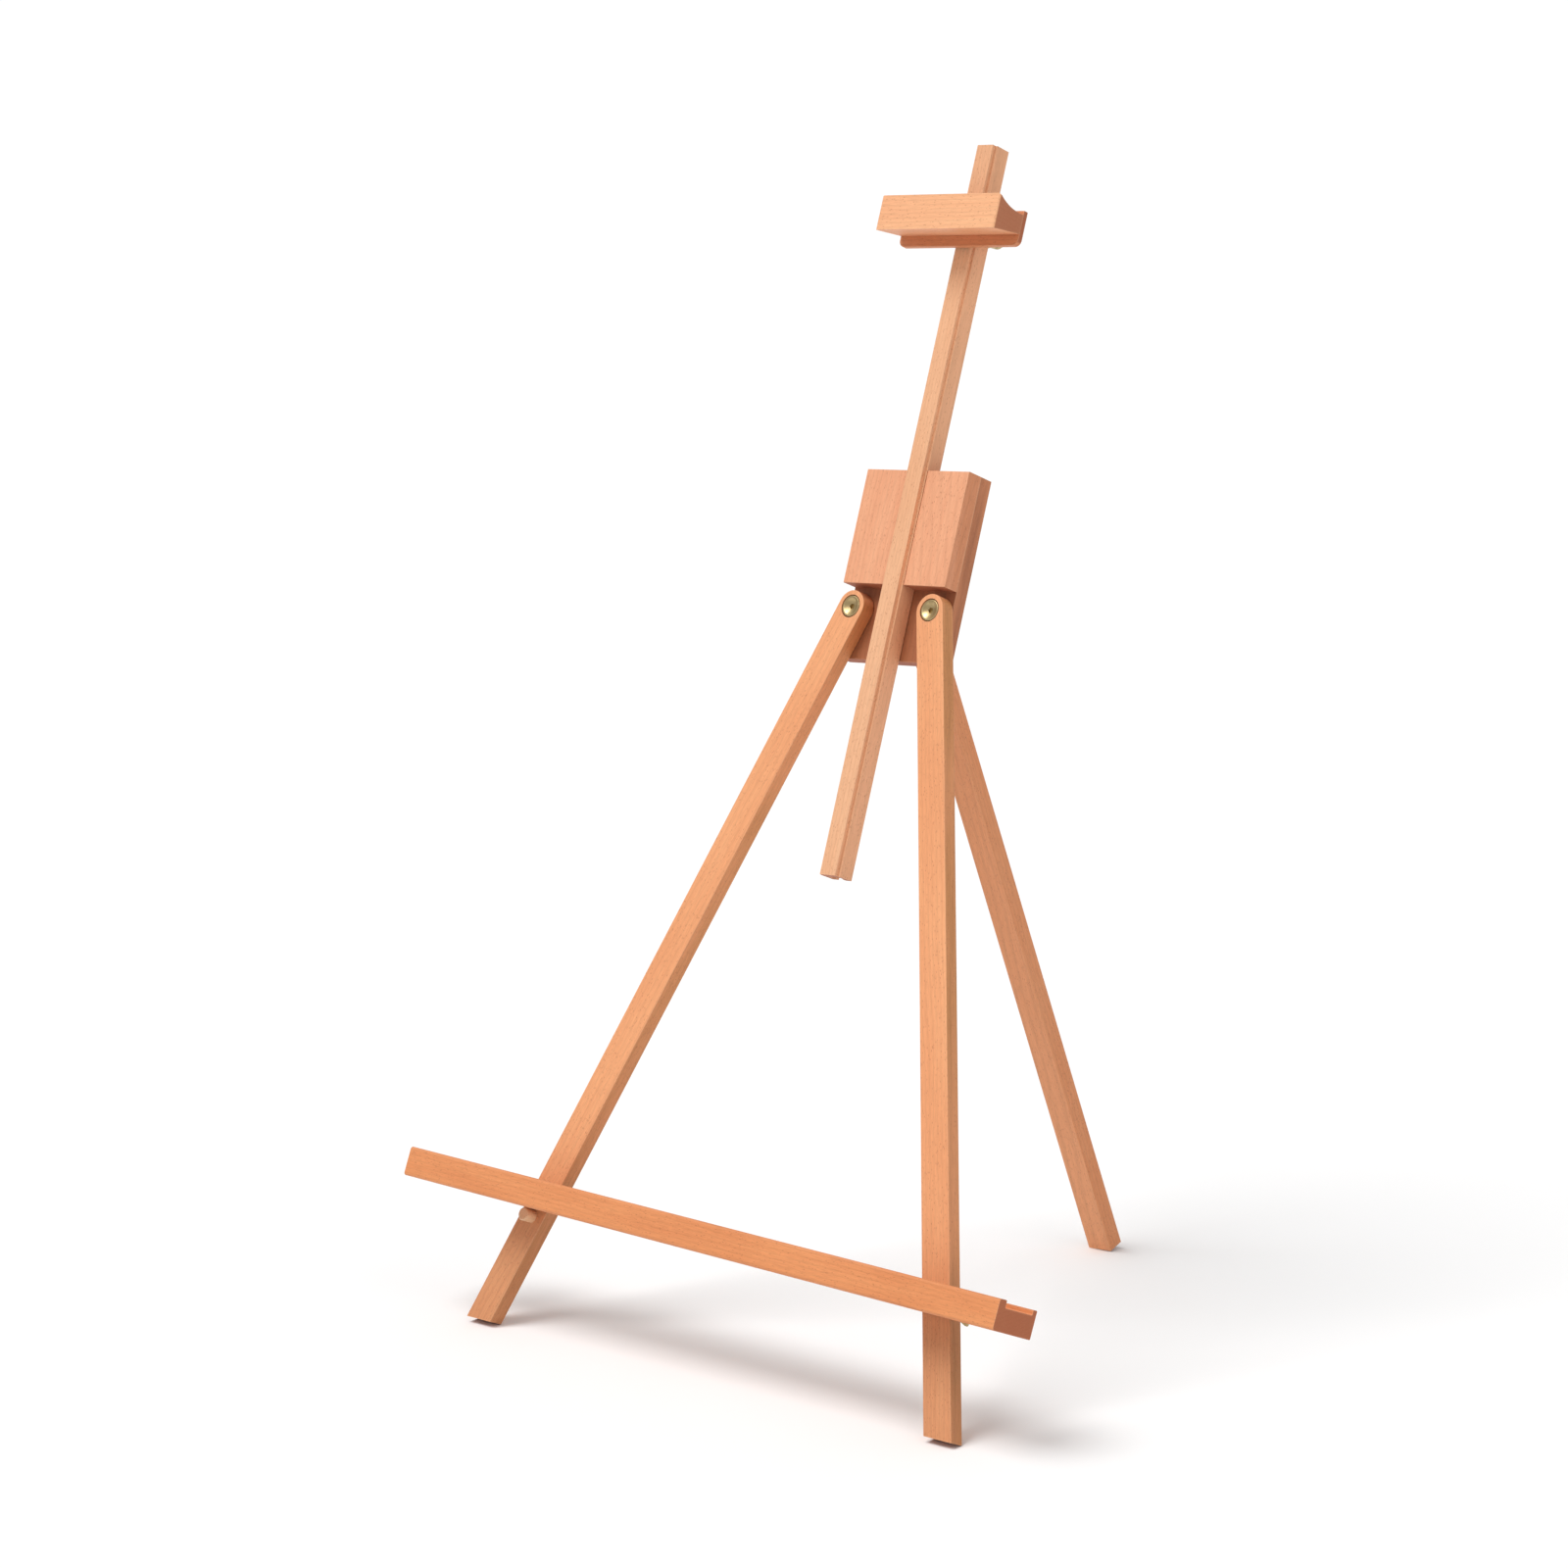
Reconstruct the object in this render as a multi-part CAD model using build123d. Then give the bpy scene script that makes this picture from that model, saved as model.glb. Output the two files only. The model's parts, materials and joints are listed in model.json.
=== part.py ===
from build123d import *
import math
import os

# A tabletop tripod easel in beech with brass fittings. Millimetres and degrees.
# World: X to the easel's right, -Y to its front, +Z up.
# Lean frame: x across, y up the leaning front plane, z out of its front face.
# z = 0 is the front face of the front legs, y = 0 is their bottom front edge.
# Head frame: the lean frame turned by HEAD_TILT about the middle of the two leg pivots.

# Stance
LEAN = 23.7
SPLAY = 18.5
HEAD_TILT = 2.5
LEDGE_TILT = -1.0
REAR_SPREAD = 18.4
PIVOT_HEIGHT = 464.4
PIVOT_REACH = 31.0

# Spaces between parts that move past each other
CLEAR = 0.3
RUNNING_FIT = 0.06

# Front legs
LEG_WIDTH = 19.8
LEG_THICK = 10.0
LEG_ARRIS = 0.6

# Ledge peg in the left leg
PEG_RADIUS = 4.0
PEG_PROUD = 8.0
PEG_DEPTH = 8.5
PEG_EDGE = 0.6
PEG_DROP = 0.4

# Head: two cheeks beside the mast, on a back board behind the legs
HEAD_HALF = 40.0
CHEEK_LOW = 14.0
HEAD_TOP = 84.5
CHEEK_FRONT = 1.2
BOARD_FRONT = -LEG_THICK - CLEAR
BOARD_BACK = -20.3
BOARD_LOW = -29.8
HEAD_ARRIS = 0.6
HEAD_SCREW_X = 25.0
HEAD_SCREW_HEIGHTS = (30.0, 70.0)
HEAD_SCREW_LENGTH = 17.0

# Mast with a narrower front nose and a T-slot down its back
MAST_HALF = 7.4
MAST_NOSE_HALF = 6.1
MAST_FRONT = 4.0
MAST_BACK = -LEG_THICK
MAST_LOW = -163.4
MAST_TOP = 286.6
MAST_ARRIS = 0.4
TEE_NECK_HALF = 2.8
TEE_NECK_DEPTH = 3.0
TEE_POCKET_HALF = 4.5
TEE_POCKET_DEPTH = 4.0

# Pivot sleeves, with a dished head sunk in each leg, and the bolts that close them
SLEEVE_HEAD_RADIUS = 6.5
SLEEVE_HEAD_THICK = 2.4
SLEEVE_RIM = 1.2
SLEEVE_DISH_DEPTH = 1.5
SLEEVE_RADIUS = 3.5
SLEEVE_END = -19.8
SLEEVE_BORE_END = -6.0
SLEEVE_SOCKET_RADIUS = 1.9
SLEEVE_SOCKET_DEPTH = 1.6
COUNTERBORE_RADIUS = 7.1
PIVOT_BOLT_RADIUS = 2.0
PIVOT_BOLT_HEAD_RADIUS = 4.6
PIVOT_BOLT_HEAD_THICK = 2.6
PIVOT_BOLT_SLOT = 1.2

# Bolts, washers and wing nuts
BOLT_RADIUS = 2.5
LEDGE_BOLT_RADIUS = 3.0
LOCK_HEIGHT = 50.0
WASHER_RADIUS = 6.5
WASHER_THICK = 1.2
NUT_HUB_LOW_RADIUS = 5.5
NUT_HUB_TOP_RADIUS = 4.3
NUT_HUB_HEIGHT = 9.0
NUT_WING_THICK = 2.6
BOLT_TAIL = 2.5

# Clamp that rides on the mast, heights measured from the leg pivots
CLAMP_HALF = 46.5
CLAMP_BLOCK_LOW = 224.0
CLAMP_BLOCK_LOW_BACK = 228.0
CLAMP_BLOCK_TOP = 245.5
CLAMP_SEAT_TOP = 239.8
CLAMP_FRONT = 33.0
CLAMP_COVE_BACK = 14.0
CLAMP_COVE_SAG = 1.6
CLAMP_PLATE_FRONT = 9.3
CLAMP_PLATE_BACK = 6.0
CLAMP_PLATE_LOW = 221.2
CLAMP_PLATE_TOP = 242.5
CLAMP_PLATE_CORNER = 4.0
CLAMP_END_ROUND = 2.0
SLEEVE_CHEEK_HALF = 17.0
SLEEVE_CHEEK_LOW = 229.0
SLEEVE_CHEEK_TOP = 241.8
KEEPER_THICK = 6.2
CLAMP_SCREW_X = 12.9
CLAMP_SCREW_LENGTH = 39.0
CLAMP_MIDDLE = 235.4

# Ledge: a bar with a shallow channel along its top
LEDGE_LENGTH = 480.0
LEDGE_HEIGHT = 17.9
LEDGE_BACK = CLEAR
LEDGE_FRONT = 33.8
LEDGE_OFFSET = -5.5
LEDGE_LOW = 69.4
LEDGE_LIP = 6.0
LEDGE_REAR_RAIL = 3.3
LEDGE_REAR_RAIL_TOP = 16.6
LEDGE_CHANNEL_FLOOR = 13.4
LEDGE_EDGE_ROUND = 1.8
LEDGE_SMALL_ROUND = 0.8
LEDGE_BOLT_UP = 9.0
LEDGE_BOLT_DEPTH = 22.0

# Rear leg and its butt hinge
REAR_WIDTH = 17.8
REAR_THICK = 11.5
REAR_ABOVE = 15.0
REAR_ARRIS = 0.6
HINGE_HEIGHT = -5.6
HINGE_OFF = 2.6
HINGE_HALF = 8.4
HINGE_LEAF_THICK = 1.4
HINGE_LEAF_LENGTH = 22.5
HINGE_KNUCKLE_RADIUS = 2.25
HINGE_MIDDLE_HALF = 3.0
HINGE_PIN_RADIUS = 1.0
HINGE_PIN_HALF = 8.9
HINGE_SCREW_SPOTS = ((-5.0, -19.0), (5.0, -19.0), (0.0, -8.5))
HINGE_SCREW_LENGTH = 7.5

# Wood screws: shank radius, head radius, head depth
SMALL_SCREW = (1.0, 2.0, 1.1)
BIG_SCREW = (1.6, 3.2, 2.2)
SCREW_SLOT_WIDTH = 0.6
SCREW_SLOT_DEPTH = 0.5

# Longer than anything here, for trimming cuts, and the slack in picking edges by level
FAR = 600.0
LEVEL = 0.001


def direction(x, y, z):
    """World direction of a lean-frame direction."""
    lean = math.radians(LEAN)
    back = y * math.sin(lean) - z * math.cos(lean)
    up = y * math.cos(lean) + z * math.sin(lean)
    return Vector(x, back, up)


def turned_frame(x, y, z, turn):
    """Frame at a lean-frame point, turned anticlockwise in the front plane."""
    angle = math.radians(turn)
    across = direction(math.cos(angle), math.sin(angle), 0)
    return Plane(origin=direction(x, y, z), x_dir=across, z_dir=direction(0, 0, 1))


def head_point(x, y):
    """Lean-frame point of a head-frame point."""
    angle = math.radians(HEAD_TILT)
    across = x * math.cos(angle) - y * math.sin(angle)
    up = x * math.sin(angle) + y * math.cos(angle)
    return across, PIVOT_HEIGHT + up


def ledge_point(x, y):
    """Lean-frame point of a point given along and up the ledge."""
    angle = math.radians(LEDGE_TILT)
    across = LEDGE_OFFSET + x * math.cos(angle) - y * math.sin(angle)
    up = LEDGE_LOW + x * math.sin(angle) + y * math.cos(angle)
    return across, up


def along_ledge(side, y):
    """How far along the ledge a leg's centre line passes, at a height on the ledge."""
    angle = math.radians(LEDGE_TILT)
    slope = side * math.tan(math.radians(SPLAY))
    pivot_x, pivot_y = head_point(side * PIVOT_REACH, 0)
    drop = pivot_y - LEDGE_LOW - y * math.cos(angle)
    reach = pivot_x + drop * slope - LEDGE_OFFSET + y * math.sin(angle)
    return reach / (math.cos(angle) + slope * math.sin(angle))


def head_frame():
    return turned_frame(*head_point(0, 0), 0, HEAD_TILT)


def leg_frame(side):
    """Lean-frame directions with the origin at a front leg's pivot."""
    return turned_frame(*head_point(side * PIVOT_REACH, 0), 0, 0)


def ledge_frame():
    return turned_frame(LEDGE_OFFSET, LEDGE_LOW, 0, LEDGE_TILT)


def hinge_frame():
    """Head-frame directions with the origin on the rear leg's hinge axis."""
    head = head_frame()
    origin = head.from_local_coords(Vector(0, HINGE_HEIGHT, BOARD_BACK - HINGE_OFF))
    return Plane(origin=origin, x_dir=head.x_dir, z_dir=head.z_dir)


def place(frame, shape):
    return frame.location * shape


def edges_at(shape, axis, level):
    """Edges that lie wholly at one level along an axis."""
    return shape.edges().filter_by_position(axis, level - LEVEL, level + LEVEL)


def block(x_span, y_span, z_span):
    """Rectangular block between three pairs of limits."""
    spans = (x_span, y_span, z_span)
    middle = [(low + high) / 2 for low, high in spans]
    size = [high - low for low, high in spans]
    return Pos(*middle) * Box(*size)


def rod(radius, low, high, x=0.0, y=0.0):
    """Round bar along z."""
    return Pos(x, y, (low + high) / 2) * Cylinder(radius, high - low)


def cross_rod(radius, low, high):
    """Round bar along x, centred on the x axis."""
    return Pos((low + high) / 2, 0, 0) * Rot(0, 90, 0) * Cylinder(radius, high - low)


def washer(outer, bore, low, high):
    return rod(outer, low, high) - rod(bore, low, high)


def screw_body(size, length):
    """Countersunk screw without its slot: face at z = 0, point towards -z."""
    shank, head, depth = size
    cone = Pos(0, 0, -depth / 2) * Cone(shank, head, depth)
    return cone + rod(shank, -length, -depth)


def screw(size, length):
    slot_half = SCREW_SLOT_WIDTH / 2
    reach = size[1] * 0.8
    slot = block((-reach, reach), (-slot_half, slot_half), (-SCREW_SLOT_DEPTH, 0))
    return screw_body(size, length) - slot


def head_screw_places():
    """Screws driven from behind the back board into both cheeks."""
    spots = [(x, y) for x in (-HEAD_SCREW_X, HEAD_SCREW_X) for y in HEAD_SCREW_HEIGHTS]
    return [Pos(x, y, BOARD_BACK) * Rot(0, 180, 0) for x, y in spots]


def clamp_screw_places():
    """Screws driven from behind the keeper, one through each sleeve cheek."""
    back = BOARD_FRONT - KEEPER_THICK
    return [Pos(x, CLAMP_MIDDLE, back) * Rot(0, 180, 0) for x in (-CLAMP_SCREW_X, CLAMP_SCREW_X)]


def board_leaf_screw_places():
    surface = HINGE_OFF - HINGE_LEAF_THICK
    return [Pos(x, y, surface) * Rot(0, 180, 0) for x, y in HINGE_SCREW_SPOTS]


def leg_leaf_screw_places():
    surface = HINGE_LEAF_THICK - HINGE_OFF
    return [Pos(x, y, surface) for x, y in HINGE_SCREW_SPOTS]


def group(shapes):
    """Separate solids kept together as one node."""
    return Compound(children=[solid for shape in shapes for solid in shape.solids()])


def drilled(solid, places, size, length):
    """Solid with the seats of a set of screws taken out of it."""
    for spot in places:
        solid = solid - spot * screw_body(size, length)
    return solid


# ---- Head ----


def back_board():
    board = block((-HEAD_HALF, HEAD_HALF), (BOARD_LOW, HEAD_TOP), (BOARD_BACK, BOARD_FRONT))
    board = fillet(edges_at(board, Axis.Z, BOARD_BACK), HEAD_ARRIS)
    for side in (-1, 1):
        board = board - rod(SLEEVE_RADIUS, BOARD_BACK, BOARD_FRONT, side * PIVOT_REACH)
    board = board - rod(BOLT_RADIUS, BOARD_BACK, BOARD_FRONT, 0, LOCK_HEIGHT)
    board = drilled(board, head_screw_places(), BIG_SCREW, HEAD_SCREW_LENGTH)
    hinge_at = Pos(0, HINGE_HEIGHT, BOARD_BACK - HINGE_OFF)
    places = [hinge_at * spot for spot in board_leaf_screw_places()]
    return drilled(board, places, SMALL_SCREW, HINGE_SCREW_LENGTH)


def cheek(side):
    """Block beside the mast; its outer side lines up with the back board."""
    inner = side * (MAST_HALF + CLEAR)
    outer = side * HEAD_HALF
    span = (min(inner, outer), max(inner, outer))
    body = block(span, (CHEEK_LOW, HEAD_TOP), (BOARD_FRONT, CHEEK_FRONT))
    body = fillet(edges_at(body, Axis.Z, CHEEK_FRONT), HEAD_ARRIS)
    return drilled(body, head_screw_places(), BIG_SCREW, HEAD_SCREW_LENGTH)


def head_screws():
    return group([spot * screw(BIG_SCREW, HEAD_SCREW_LENGTH) for spot in head_screw_places()])


def pivot_sleeve(side):
    """Brass sleeve with a dished head in the leg's counterbore and a blind bore behind."""
    head = rod(SLEEVE_HEAD_RADIUS, -SLEEVE_HEAD_THICK, 0)
    head = fillet(edges_at(head, Axis.Z, 0), SLEEVE_RIM / 3)
    dish_radius = SLEEVE_HEAD_RADIUS - SLEEVE_RIM
    ball = (dish_radius**2 + SLEEVE_DISH_DEPTH**2) / (2 * SLEEVE_DISH_DEPTH)
    head = head - Pos(0, 0, ball - SLEEVE_DISH_DEPTH) * Sphere(ball)
    body = head + rod(SLEEVE_RADIUS, SLEEVE_END, -SLEEVE_HEAD_THICK)
    socket_floor = -SLEEVE_DISH_DEPTH - SLEEVE_SOCKET_DEPTH
    socket = Pos(0, 0, socket_floor) * extrude(RegularPolygon(SLEEVE_SOCKET_RADIUS, 6), -socket_floor)
    body = body - socket
    body = body - rod(PIVOT_BOLT_RADIUS, SLEEVE_END, SLEEVE_BORE_END)
    return Pos(side * PIVOT_REACH, 0, 0) * body


def pivot_washer(side):
    ring = washer(WASHER_RADIUS, PIVOT_BOLT_RADIUS, BOARD_BACK - WASHER_THICK, BOARD_BACK)
    return Pos(side * PIVOT_REACH, 0, 0) * ring


def pivot_bolt(side):
    """Slotted bolt from behind, screwed into the sleeve."""
    seat = BOARD_BACK - WASHER_THICK
    end = seat - PIVOT_BOLT_HEAD_THICK
    head = rod(PIVOT_BOLT_HEAD_RADIUS, end, seat)
    head = fillet(edges_at(head, Axis.Z, end), PIVOT_BOLT_HEAD_THICK / 2)
    slot_half = PIVOT_BOLT_SLOT / 2
    reach = PIVOT_BOLT_HEAD_RADIUS
    slot = block((-reach, reach), (-slot_half, slot_half), (end, end + PIVOT_BOLT_SLOT))
    bolt = head - slot + rod(PIVOT_BOLT_RADIUS, seat, SLEEVE_BORE_END)
    return Pos(side * PIVOT_REACH, 0, 0) * bolt


def nut_seat(surface):
    """Where a wing nut starts behind a washer laid on a rear surface."""
    return surface - WASHER_THICK - CLEAR


def bolt_end(surface):
    return nut_seat(surface) - NUT_HUB_HEIGHT - BOLT_TAIL


def tee_bolt(surface):
    """Square-headed bolt with its head in the mast's T-slot."""
    head_back = MAST_BACK + TEE_NECK_DEPTH + CLEAR
    head_front = MAST_BACK + TEE_NECK_DEPTH + TEE_POCKET_DEPTH - CLEAR
    half = TEE_POCKET_HALF - CLEAR
    head = block((-half, half), (-half, half), (head_back, head_front))
    return head + rod(BOLT_RADIUS, bolt_end(surface), head_back)


def mast_lock_bolt():
    return Pos(0, LOCK_HEIGHT, 0) * tee_bolt(BOARD_BACK)


def mast_lock_washer():
    ring = washer(WASHER_RADIUS, BOLT_RADIUS, BOARD_BACK - WASHER_THICK, BOARD_BACK)
    return Pos(0, LOCK_HEIGHT, 0) * ring


def wing(side):
    """One wing of a nut, flaring out and up from the hub."""
    corners = [(2.0, 0.8), (7.5, 1.6), (14.0, 9.2), (11.4, 13.0), (7.2, 9.6), (2.0, 8.2)]
    outline = Polygon(*[(side * x, z) for x, z in corners], align=None)
    soft = [v for v in outline.vertices() if abs(v.X) > 7.0 and v.Y > 2.0]
    outline = fillet(soft, 1.7)
    return extrude(Plane.XZ * outline, NUT_WING_THICK / 2, both=True)


def wing_nut(bolt_radius):
    """Wing nut with its seat at z = 0 and its wings towards +z."""
    hub = Pos(0, 0, NUT_HUB_HEIGHT / 2) * Cone(NUT_HUB_LOW_RADIUS, NUT_HUB_TOP_RADIUS, NUT_HUB_HEIGHT)
    nut = hub + wing(-1) + wing(1)
    bore = bolt_radius + RUNNING_FIT
    return nut - rod(bore, 0, NUT_HUB_HEIGHT * 2)


def wing_nut_behind(surface, bolt_radius, x, y, turn):
    """Wing nut on a bolt that comes out of a rear surface, its wings at a given angle."""
    spot = Pos(x, y, nut_seat(surface)) * Rot(0, 180, 0) * Rot(0, 0, turn)
    return spot * wing_nut(bolt_radius)


def mast_lock_wing_nut():
    return wing_nut_behind(BOARD_BACK, BOLT_RADIUS, 0, LOCK_HEIGHT, 25)


# ---- Rear leg and hinge, about the hinge axis ----


def knuckle(low, high, bore):
    barrel = cross_rod(HINGE_KNUCKLE_RADIUS, low, high)
    return barrel - cross_rod(bore, low, high)


def hinge_board_leaf():
    """Leaf on the back board, with the two outer knuckles."""
    leaf_face = HINGE_OFF - HINGE_LEAF_THICK
    leaf = block((-HINGE_HALF, HINGE_HALF), (-HINGE_LEAF_LENGTH, 0), (leaf_face, HINGE_OFF))
    relief = HINGE_MIDDLE_HALF + CLEAR
    notch = HINGE_KNUCKLE_RADIUS + CLEAR
    leaf = leaf - block((-relief, relief), (-notch, notch), (-HINGE_OFF, HINGE_OFF))
    leaf = leaf - cross_rod(HINGE_PIN_RADIUS, -HINGE_HALF, HINGE_HALF)
    for low, high in ((-HINGE_HALF, -relief), (relief, HINGE_HALF)):
        leaf = leaf + knuckle(low, high, HINGE_PIN_RADIUS)
    return drilled(leaf, board_leaf_screw_places(), SMALL_SCREW, HINGE_SCREW_LENGTH)


def hinge_board_screws():
    return group([spot * screw(SMALL_SCREW, HINGE_SCREW_LENGTH) for spot in board_leaf_screw_places()])


def hinge_pin():
    return cross_rod(HINGE_PIN_RADIUS, -HINGE_PIN_HALF, HINGE_PIN_HALF)


def rear_turn():
    """Turn of the opened rear leg from lying flat against the head."""
    return Rot(LEAN + REAR_SPREAD, 0, 0)


def hinge_leg_leaf():
    """Leaf on the rear leg's front face, with the middle knuckle."""
    leaf_face = HINGE_LEAF_THICK - HINGE_OFF
    leaf = block((-HINGE_HALF, HINGE_HALF), (-HINGE_LEAF_LENGTH, 0), (-HINGE_OFF, leaf_face))
    notch = HINGE_KNUCKLE_RADIUS + CLEAR
    for low, high in ((-HINGE_HALF, -HINGE_MIDDLE_HALF), (HINGE_MIDDLE_HALF, HINGE_HALF)):
        leaf = leaf - block((low, high), (-notch, notch), (-HINGE_OFF, HINGE_OFF))
    leaf = leaf + knuckle(-HINGE_MIDDLE_HALF, HINGE_MIDDLE_HALF, HINGE_PIN_RADIUS + RUNNING_FIT)
    leaf = drilled(leaf, leg_leaf_screw_places(), SMALL_SCREW, HINGE_SCREW_LENGTH)
    return rear_turn() * leaf


def hinge_leg_screws():
    screws = group([spot * screw(SMALL_SCREW, HINGE_SCREW_LENGTH) for spot in leg_leaf_screw_places()])
    return rear_turn() * screws


def rear_leg_length():
    """Length below the hinge axis that puts the lowest corner of the square end on the floor."""
    frame = hinge_frame()
    opened = math.radians(LEAN + REAR_SPREAD)
    up_leg = frame.y_dir * math.cos(opened) + frame.z_dir * math.sin(opened)
    out_of_leg = frame.z_dir * math.cos(opened) - frame.y_dir * math.sin(opened)
    floor = direction(0, 0, -LEG_THICK).Z
    corner = frame.origin.Z - frame.x_dir.Z * REAR_WIDTH / 2 - out_of_leg.Z * HINGE_OFF
    return (corner - floor) / up_leg.Z


def rear_leg():
    """Square-ended bar whose mitred top stops against the back board."""
    half = REAR_WIDTH / 2
    back = -HINGE_OFF - REAR_THICK
    bar = block((-half, half), (-rear_leg_length(), REAR_ABOVE), (back, -HINGE_OFF))
    bar = fillet(bar.edges().filter_by(Axis.Y), REAR_ARRIS)
    bar = drilled(bar, leg_leaf_screw_places(), SMALL_SCREW, HINGE_SCREW_LENGTH)
    stop = block((-FAR, FAR), (-FAR, FAR), (HINGE_OFF - CLEAR, FAR))
    return rear_turn() * bar - stop


# ---- Front legs, about each pivot ----


def front_leg(side):
    """Straight bar with a round top; the foot is cut level across and square through."""
    length = PIVOT_HEIGHT * 1.2
    outline = Pos(0, -length / 2) * Rectangle(LEG_WIDTH, length) + Circle(LEG_WIDTH / 2)
    bar = Pos(0, 0, -LEG_THICK) * extrude(outline, LEG_THICK)
    rims = edges_at(bar, Axis.Z, 0)
    rims += edges_at(bar, Axis.Z, -LEG_THICK)
    bar = Rot(0, 0, side * SPLAY) * fillet(rims, LEG_ARRIS)
    pivot_x, pivot_y = head_point(side * PIVOT_REACH, 0)
    bar = bar - block((-FAR, FAR), (-pivot_y - FAR, -pivot_y), (-FAR, FAR))
    bar = bar - rod(SLEEVE_RADIUS + RUNNING_FIT, -LEG_THICK, 0)
    return bar - rod(COUNTERBORE_RADIUS, -SLEEVE_HEAD_THICK - CLEAR, 0)


def from_pivot(side, x, y):
    """Point of the ledge frame measured from a front leg's pivot."""
    pivot_x, pivot_y = head_point(side * PIVOT_REACH, 0)
    across, up = ledge_point(x, y)
    return across - pivot_x, up - pivot_y


def peg_spot():
    """Peg centre from the left pivot: on the leg's centre line, just under the ledge."""
    below = -PEG_RADIUS - PEG_DROP
    return from_pivot(-1, along_ledge(-1, below), below)


def ledge_bolt_along():
    return along_ledge(1, LEDGE_BOLT_UP)


def left_leg():
    return front_leg(-1) - rod(PEG_RADIUS, -PEG_DEPTH, 0, *peg_spot())


def right_leg():
    spot = from_pivot(1, ledge_bolt_along(), LEDGE_BOLT_UP)
    return front_leg(1) - rod(LEDGE_BOLT_RADIUS + RUNNING_FIT, -LEG_THICK, 0, *spot)


def ledge_peg():
    peg = rod(PEG_RADIUS, -PEG_DEPTH, PEG_PROUD)
    peg = chamfer(edges_at(peg, Axis.Z, PEG_PROUD), PEG_EDGE)
    return Pos(*peg_spot(), 0) * peg


# ---- Mast ----


def mast():
    """Bar with two front rebates that leave a narrow nose, and a T-slot down its back."""
    height = (MAST_LOW, MAST_TOP)
    body = block((-MAST_HALF, MAST_HALF), height, (MAST_BACK, CHEEK_FRONT))
    body = body + block((-MAST_NOSE_HALF, MAST_NOSE_HALF), height, (CHEEK_FRONT, MAST_FRONT))
    corners = edges_at(body, Axis.Z, MAST_FRONT).filter_by(Axis.Y)
    corners += edges_at(body, Axis.Z, MAST_BACK).filter_by(Axis.Y)
    body = fillet(corners, MAST_ARRIS)
    pocket_back = MAST_BACK + TEE_NECK_DEPTH
    neck = block((-TEE_NECK_HALF, TEE_NECK_HALF), height, (MAST_BACK, pocket_back))
    pocket_span = (pocket_back, pocket_back + TEE_POCKET_DEPTH)
    pocket = block((-TEE_POCKET_HALF, TEE_POCKET_HALF), height, pocket_span)
    return body - neck - pocket


# ---- Clamp, heights in the head frame ----


def clamp_front_block():
    """Block that hooks over the top of a canvas, with a hollowed top."""
    front_low = (CLAMP_BLOCK_LOW, CLAMP_FRONT)
    front_top = (CLAMP_BLOCK_TOP, CLAMP_FRONT)
    cove_back = (CLAMP_SEAT_TOP, CLAMP_COVE_BACK)
    back_top = (CLAMP_SEAT_TOP, CLAMP_PLATE_FRONT)
    back_low = (CLAMP_BLOCK_LOW_BACK, CLAMP_PLATE_FRONT)
    cove = SagittaArc(front_top, cove_back, -CLAMP_COVE_SAG)
    sides = Polyline(cove_back, back_top, back_low, front_low, front_top)
    outline = Plane.YZ * make_face(cove + sides)
    body = extrude(outline, CLAMP_HALF, both=True)
    ends = edges_at(body, Axis.Z, CLAMP_FRONT).filter_by(Axis.Y)
    body = fillet(ends, CLAMP_END_ROUND)
    return drilled(body, clamp_screw_places(), BIG_SCREW, CLAMP_SCREW_LENGTH)


def clamp_back_plate():
    """Thin plate behind the block, standing a little above its seat."""
    limits = (-CLAMP_HALF, CLAMP_HALF)
    plate = block(limits, (CLAMP_PLATE_LOW, CLAMP_PLATE_TOP), (CLAMP_PLATE_BACK, CLAMP_PLATE_FRONT))
    corners = edges_at(plate, Axis.Y, CLAMP_PLATE_LOW).filter_by(Axis.Z)
    plate = fillet(corners, CLAMP_PLATE_CORNER)
    return drilled(plate, clamp_screw_places(), BIG_SCREW, CLAMP_SCREW_LENGTH)


def clamp_sleeve(side):
    """Cheek beside the mast, between the back plate and the keeper."""
    inner = side * (MAST_HALF + CLEAR)
    outer = side * SLEEVE_CHEEK_HALF
    span = (min(inner, outer), max(inner, outer))
    body = block(span, (SLEEVE_CHEEK_LOW, SLEEVE_CHEEK_TOP), (BOARD_FRONT, CLAMP_PLATE_BACK))
    return drilled(body, clamp_screw_places(), BIG_SCREW, CLAMP_SCREW_LENGTH)


def clamp_keeper():
    """Plate across the back of the mast."""
    limits = (-SLEEVE_CHEEK_HALF, SLEEVE_CHEEK_HALF)
    back = BOARD_FRONT - KEEPER_THICK
    plate = block(limits, (SLEEVE_CHEEK_LOW, SLEEVE_CHEEK_TOP), (back, BOARD_FRONT))
    plate = fillet(edges_at(plate, Axis.Z, back), HEAD_ARRIS)
    plate = plate - rod(BOLT_RADIUS, back, BOARD_FRONT, 0, CLAMP_MIDDLE)
    return drilled(plate, clamp_screw_places(), BIG_SCREW, CLAMP_SCREW_LENGTH)


def clamp_screws():
    return group([spot * screw(BIG_SCREW, CLAMP_SCREW_LENGTH) for spot in clamp_screw_places()])


def clamp_lock_bolt():
    return Pos(0, CLAMP_MIDDLE, 0) * tee_bolt(BOARD_FRONT - KEEPER_THICK)


def clamp_lock_washer():
    back = BOARD_FRONT - KEEPER_THICK
    return Pos(0, CLAMP_MIDDLE, 0) * washer(WASHER_RADIUS, BOLT_RADIUS, back - WASHER_THICK, back)


def clamp_lock_wing_nut():
    return wing_nut_behind(BOARD_FRONT - KEEPER_THICK, BOLT_RADIUS, 0, CLAMP_MIDDLE, -15)


# ---- Ledge ----


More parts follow.
